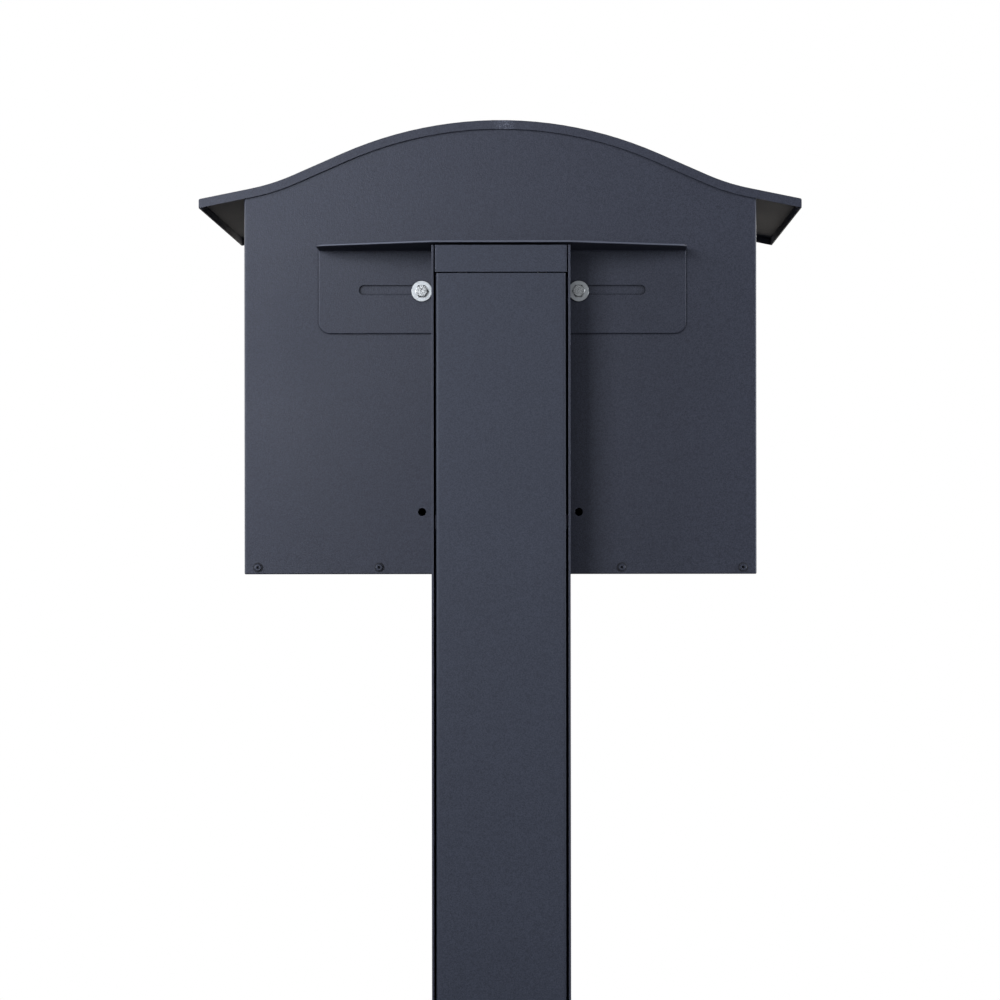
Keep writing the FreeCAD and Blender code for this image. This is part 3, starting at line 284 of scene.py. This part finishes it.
# ---------------------------------------------------------------- materials
def powder_coat(name, roughness, wear, colour=ANTHRACITE, grain=GRAIN, relief=COAT_RELIEF, scuff=None,
                highlight_above=None, dull_sides=False):
    """Fine-textured powder coat: speckle, orange peel, soft blotches, painted shade in creases and corners,
    and paler rubbed edges.

    It may have a scuff at a place, a painted highlight on rear faces above a level, and painted shade on
    faces to the sides.
    """
    shader = Shader(name)
    speckle = shader.noise(grain, 1.0, 0.6)
    peel = shader.noise(grain * 3.0, 1.0)
    blotch = shader.noise(110 * MM, 3.0)
    dust = shader.noise(12 * MM, 4.0, 0.7)
    corner_shade = shader.corner_shade(CORNER_SHADE_REACH)

    tone = shader.remap(speckle, 0.3, 0.7, 0.70, 1.32)
    tone = shader.times(tone, shader.remap(blotch, 0.3, 0.7, 0.96, 1.04))
    tone = shader.times(tone, shader.remap(dust, 0.35, 0.75, 0.98, 1.04))
    # Painted shade: darker where another surface stands close, in corners and creases.
    tone = shader.times(tone, shader.remap(corner_shade, 0.45, 0.9, CORNER_SHADE_TONE, 1.0))

    # Real wear on edges, the scuff, and the painted highlight on the flange rim all share this mask.
    wear_and_highlight = shader.times(shader.edge(WORN_WIDTH), shader.remap(dust, 0.45, 0.62, 0.25, 1.0))
    wear_and_highlight = shader.times(wear_and_highlight, wear)
    if scuff:
        specks = shader.remap(shader.noise(0.8 * MM, 3.0, 0.7), 0.50, 0.60, 0.0, 0.9)
        wear_and_highlight = shader.math("MAXIMUM", wear_and_highlight, shader.times(specks, shader.near(scuff, SCUFF_REACH)))
    # Painted highlight: the bracket flange's rear rim is made paler, standing in for light caught by its
    # rounded edge.
    if highlight_above:
        wear_and_highlight = shader.math("MAXIMUM", wear_and_highlight, shader.rear_highlight(highlight_above, RIM_HIGHLIGHT))

    # Painted shade: faces that look down, and with dull_sides those to the sides, are rougher and less
    # shiny.
    shaded_dull = shader.underside()
    if dull_sides:
        shaded_dull = shader.math("MAXIMUM", shaded_dull, shader.sideways())
    gloss = shader.remap(shader.plus(speckle, blotch), 0.7, 1.3, roughness - 0.05, roughness + 0.05)
    # Painted shade: less shine in corners and creases.
    shaded_shine = shader.remap(corner_shade, 0.45, 0.9, 0.1, COAT_SPECULAR)
    height = shader.plus(shader.times(peel, 0.5), speckle)
    shader.set(
        Base_Color=shader.mix(wear_and_highlight, shader.tinted(colour, tone), WORN_EDGE_AND_HIGHLIGHT),
        Roughness=shader.plus(gloss, shader.remap(shaded_dull, 0.0, 1.0, 0.0, 0.3)),
        Specular_IOR_Level=shader.times(shaded_shine, shader.remap(shaded_dull, 0.0, 1.0, 1.0, 0.4)),
        Normal=shader.bump(height, relief, shader.rounded_normal(COAT_ROUNDING)),
    )
    return shader.material


def plated_metal(name, colour, roughness, mottling, scratch, stretch=(1, 1, 1), dents=0.0):
    """Plated or bare metal: mottled tone, fine scratches along one way, darker stains and small dents."""
    shader = Shader(name)
    mottle = shader.noise(1.6 * MM, 3.0, 0.6)
    lines = shader.noise(0.25 * MM, 2.0, 0.6, shader.stretched(stretch))
    stain = shader.noise(5 * MM, 4.0, 0.65)
    tone = shader.remap(mottle, 0.3, 0.7, 1 - mottling, 1 + mottling * 0.4)
    tone = shader.times(tone, shader.remap(stain, 0.35, 0.7, 1.0, 0.86))
    dented = shader.bump(mottle, dents, shader.rounded_normal(0.25 * MM))
    shader.set(
        Base_Color=shader.tinted(colour, tone),
        Metallic=1.0,
        Roughness=shader.remap(shader.plus(mottle, lines), 0.6, 1.4, roughness - 0.07, roughness + 0.12),
        Normal=shader.bump(lines, scratch, dented),
    )
    return shader.material


def card_stock(name):
    """Blank card: warm white with paper fibre."""
    shader = Shader(name)
    fibre = shader.noise(0.3 * MM, 4.0, 0.7, shader.stretched((0.3, 1, 1)))
    cloud = shader.noise(9 * MM)
    tone = shader.remap(fibre, 0.3, 0.7, 0.93, 1.04)
    tone = shader.times(tone, shader.remap(cloud, 0.3, 0.7, 0.97, 1.02))
    shader.set(Base_Color=shader.tinted(CARD, tone), Roughness=0.9, Normal=shader.bump(fibre, 0.03 * MM))
    return shader.material


def black_rubber(name):
    """Moulded rubber: dull, with fine pores."""
    shader = Shader(name)
    pores = shader.cells(0.5 * MM)
    bloom = shader.noise(3 * MM, 3.0)
    shader.set(
        Base_Color=shader.tinted(RUBBER, shader.remap(bloom, 0.3, 0.7, 0.8, 1.7)),
        Roughness=shader.remap(bloom, 0.3, 0.7, 0.62, 0.85),
        Normal=shader.bump(pores, 0.04 * MM, shader.rounded_normal(0.3 * MM)),
    )
    return shader.material


def studio_floor(name):
    """Pale seamless floor that fades into the white backdrop; it sends little light back up."""
    shader = Shader(name)
    cloud = shader.noise(0.4, 3.0)
    rays = shader.camera_rays()
    near = shader.near((0, 0, cad_low.z), FLOOR_RADIUS * 0.95)
    pale = shader.tinted(FLOOR, shader.times(near, shader.remap(cloud, 0.3, 0.7, 0.985, 1.0)))
    shader.set(
        Base_Color=shader.mix(rays, FLOOR_BOUNCE, pale),
        Roughness=0.9,
        Specular_IOR_Level=0.0,
        Emission_Color=WHITE,
        Emission_Strength=shader.times(rays, shader.remap(near, 0.0, 1.0, 1.0, FLOOR_GLOW)),
    )
    return shader.material


MATERIALS = {
    "powder_coat": powder_coat("powder_coat", 0.40, 0.30),
    "cover_coat": powder_coat("cover_coat", 0.44, 0.25, ANTHRACITE_COVER, relief=0.04 * MM),
    "door_coat": powder_coat("door_coat", 0.42, 0.30),
    "coated_rivet": powder_coat("coated_rivet", 0.40, 0.70, grain=0.5 * MM, relief=0.03 * MM),
    "zinc_plate": plated_metal("zinc_plate", ZINC, 0.33, 0.12, 0.004 * MM),
    "bolt_zinc": plated_metal("bolt_zinc", BOLT, 0.22, 0.50, 0.004 * MM, dents=0.2 * MM),
    "stainless": plated_metal("stainless", STEEL, 0.30, 0.08, 0.012 * MM, (0.06, 1, 1)),
    "spring_steel": plated_metal("spring_steel", BLUED, 0.35, 0.15, 0.01 * MM, (1, 1, 0.1)),
    "lock_chrome": plated_metal("lock_chrome", CHROME, 0.12, 0.05, 0.003 * MM),
    "key_brass": plated_metal("key_brass", NICKEL, 0.25, 0.10, 0.012 * MM, (1, 0.1, 1)),
    "card": card_stock("card"),
    "rubber": black_rubber("rubber"),
}


def dress_cad_nodes():
    """Give each CAD node the material of its slot; the roof, bracket and mounting bolts have their own."""
    low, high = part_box("roof")
    scuff = ((low.x + high.x) / 2 - 4 * MM, high.y, high.z - 6 * MM)
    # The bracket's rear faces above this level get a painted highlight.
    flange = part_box("bracket")[1].z - RIM_BAND
    own = {
        "roof": powder_coat("roof_coat", 0.40, 0.10, scuff=scuff, dull_sides=True),
        "bracket": powder_coat("bracket_coat", 0.40, 0.30, highlight_above=flange),
        "mounting_bolts": MATERIALS["bolt_zinc"],
    }
    for name, node in NODES.items():
        material = own.get(name) or MATERIALS[SLOT_OF[name]]
        node.data.materials.clear()
        node.data.materials.append(material)


# ---------------------------------------------------------------- small pieces that the CAD leaves out
def directions(start, end):
    """The direction from start to end, and two directions across it."""
    along = (end - start).normalized()
    across = along.orthogonal().normalized()
    return along, across, along.cross(across)


def sweep(name, rings, slot):
    """A closed mesh through rings of points, capped at both ends, that rides on the root body."""
    shape = bmesh.new()
    loops = [[shape.verts.new(point) for point in ring] for ring in rings]
    for near, far in zip(loops, loops[1:]):
        for index in range(len(near)):
            after = (index + 1) % len(near)
            shape.faces.new((near[index], near[after], far[after], far[index]))
    shape.faces.new(loops[0][::-1])
    shape.faces.new(loops[-1])
    bmesh.ops.recalc_face_normals(shape, faces=shape.faces)
    mesh = bpy.data.meshes.new(name)
    shape.to_mesh(mesh)
    shape.free()
    mesh.polygons.foreach_set("use_smooth", [True] * len(mesh.polygons))
    mesh.materials.append(MATERIALS[slot])
    piece = bpy.data.objects.new(name, mesh)
    bpy.context.scene.collection.objects.link(piece)
    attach(piece, "root")


def weld_bead(name, start, end, size):
    """A coated fillet weld along a straight seam, with a ripple for each drop."""
    start, end = Vector(start), Vector(end)
    _, across, other = directions(start, end)
    steps = int((end - start).length / (WELD_RIPPLE / 4))
    turns = [2 * math.pi * part / WELD_SIDES for part in range(WELD_SIDES)]
    ring = [across * math.cos(turn) + other * math.sin(turn) for turn in turns]
    rings = []
    for step in range(steps + 1):
        drop = abs(math.sin(math.pi * step / 4))
        taper = min(1.0, 0.35 + min(step, steps - step) / 6)
        radius = size * taper * (0.84 + 0.16 * drop)
        middle = start + (end - start) * (step / steps)
        rings.append([middle + out * radius for out in ring])
    sweep(name, rings, "powder_coat")


def make_welds():
    """Beads round the post's foot and along both faces of the gussets."""
    low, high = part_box("post_channel")
    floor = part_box("base_plate")[1].z
    gusset_low, gusset_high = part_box("base_gussets")
    bend = 9 * MM  # the post's rounded corners stay free
    gap = 1 * MM  # between one bead's end and the next piece
    corner = 4 * MM  # from the gusset's inner corner to the beads beside it
    tip = 3 * MM  # from the beads' ends to the gusset's far corners
    weld_bead("weld_web", (low.x + bend, low.y, floor), (high.x - bend, low.y, floor), WELD_SIZE)
    for side, wall, toe in (("left", low.x, gusset_low.x), ("right", high.x, gusset_high.x)):
        out = 1 if toe > wall else -1
        walls = (("front", low.y + bend, gusset_low.y - gap), ("rear", gusset_high.y + gap, high.y - gap))
        for end, start_y, end_y in walls:
            weld_bead(f"weld_wall_{end}_{side}", (wall, start_y, floor), (wall, end_y, floor), WELD_SIZE)
        for face, y in (("front", gusset_low.y), ("rear", gusset_high.y)):
            weld_bead(f"weld_gusset_post_{face}_{side}", (wall, y, floor + corner),
                      (wall, y, gusset_high.z - tip), GUSSET_WELD_SIZE)
            weld_bead(f"weld_gusset_base_{face}_{side}", (wall + out * corner, y, floor),
                      (toe - out * tip, y, floor), GUSSET_WELD_SIZE)


def thread(name, tip, back):
    """A helical ridge on a mounting bolt, from its tip back towards its head."""
    tip, back = Vector(tip), Vector(back)
    along, across, other = directions(tip, back)
    steps = int((back - tip).length / THREAD_PITCH * THREAD_PARTS)
    root = THREAD_RADIUS - THREAD_ROOT
    half = along * THREAD_HALF_WIDTH
    rings = []
    for step in range(steps + 1):
        turn = 2 * math.pi * step / THREAD_PARTS
        out = across * math.cos(turn) + other * math.sin(turn)
        middle = tip + along * (THREAD_PITCH * step / THREAD_PARTS)
        crest = THREAD_RADIUS + THREAD_CREST * min(1.0, min(step, steps - step) / THREAD_PARTS)
        rings.append([middle - half + out * root, middle + out * crest, middle + half + out * root])
    sweep(name, rings, "zinc_plate")


def make_threads():
    """Threads on the free ends of the mounting bolts, inside the box."""
    bolts_low, bolts_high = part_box("mounting_bolts")
    nuts_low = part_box("mounting_nuts")[0]
    level = (bolts_low.z + bolts_high.z) / 2
    for side, x in (("left", bolts_low.x + BOLT_CORNER), ("right", bolts_high.x - BOLT_CORNER)):
        thread(f"bolt_thread_{side}", (x, bolts_low.y + BOLT_TIP, level), (x, nuts_low.y, level))


# ---------------------------------------------------------------- studio and camera
def make_floor():
    """A pale round floor just below the base plate."""
    mesh = bpy.data.meshes.new("floor")
    shape = bmesh.new()
    bmesh.ops.create_circle(shape, cap_ends=True, segments=128, radius=FLOOR_RADIUS)
    shape.to_mesh(mesh)
    shape.free()
    mesh.materials.append(studio_floor("studio_floor"))
    floor = bpy.data.objects.new("floor", mesh)
    floor.location.z = cad_low.z - FLOOR_GAP
    bpy.context.scene.collection.objects.link(floor)
    floor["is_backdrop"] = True


def make_world():
    """White behind the object; soft bright areas to the rear and the front of it light it."""
    world = bpy.data.worlds.new("studio")
    world.use_nodes = True
    sky = Nodes(world.node_tree)
    side, ahead, height = sky.parts(sky.node("TexCoord")["Generated"])

    # The rear area is dim, with a bright patch round the camera, and fades out just below the horizon.
    rear = sky.remap(ahead, 0.05, 0.75, 0.0, BEHIND_CAMERA, smooth=True)
    rear = sky.plus(rear, sky.remap(ahead, 0.955, 0.985, 0.0, CAMERA_GLOW, smooth=True))
    rear = sky.times(rear, sky.remap(height, -0.30, -0.02, 0.0, 1.0, smooth=True))

    # The front area is a warm backdrop, dimmer to one side.
    front = sky.remap(ahead, -0.2, -0.8, 0.0, BACKDROP, smooth=True)
    front = sky.times(front, sky.remap(side, 0.25, -0.25, DIM_SIDE, 1.0))

    # Both fade out overhead, and a little light comes from everywhere.
    overhead = sky.remap(height, 0.75, 0.15, 0.0, 1.0, smooth=True)
    strength = sky.plus(sky.times(sky.plus(rear, front), overhead), AMBIENT)
    tint = sky.mix(sky.remap(ahead, -0.2, 0.2, 0.0, 1.0), WARM, COOL)
    lit = sky.node("Background", {"Color": tint, "Strength": strength})[0]
    seen = sky.node("Background", {"Color": WHITE, "Strength": 1.0})[0]
    blend = sky.node("MixShader", {0: sky.camera_rays(), 1: lit, 2: seen})[0]
    sky.node("OutputWorld", {"Surface": blend})
    bpy.context.scene.world = world


def soft_light(name, place, target, size, power, colour):
    """A square soft box at a place, turned to a target."""
    data = bpy.data.lights.new(name, "AREA")
    data.size = size
    data.energy = power
    data.color = colour
    light = bpy.data.objects.new(name, data)
    light.location = place
    light.rotation_euler = (target - place).to_track_quat("-Z", "Y").to_euler()
    light.visible_camera = False
    bpy.context.scene.collection.objects.link(light)


def make_lights():
    """A key to the left of the camera, a wall of light beside each side, and soft light for the front."""
    aim = Vector((0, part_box("body_shell")[1].y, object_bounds()[1].z - AIM_DROP))
    for name, offset, size, power, colour in LIGHTS:
        soft_light(name, aim + Vector(offset), aim, size, power, colour)


def make_camera():
    """A level camera square to the rear panel, with a shifted lens."""
    panel_low, panel_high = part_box("body_shell")
    roof_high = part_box("roof")[1]
    data = bpy.data.cameras.new("camera")
    data.lens = CAMERA_LENS
    data.sensor_width = 36
    data.shift_x, data.shift_y = CAMERA_SHIFT
    data.clip_start = 0.05
    camera = bpy.data.objects.new("camera", data)
    middle = (panel_low.x + panel_high.x) / 2
    camera.location = (middle + CAMERA_SIDE, panel_high.y + CAMERA_DISTANCE, roof_high.z - CAMERA_DROP)
    camera.rotation_euler = (math.radians(90), math.radians(CAMERA_ROLL), math.radians(180))
    bpy.context.scene.collection.objects.link(camera)
    bpy.context.scene.camera = camera


def set_colours():
    """Plain display colours, so that the backdrop stays pure white."""
    view = bpy.context.scene.view_settings
    view.view_transform = "Standard"
    view.look = "None"


dress_cad_nodes()
make_welds()
make_threads()
make_floor()
make_world()
make_lights()
make_camera()
set_colours()
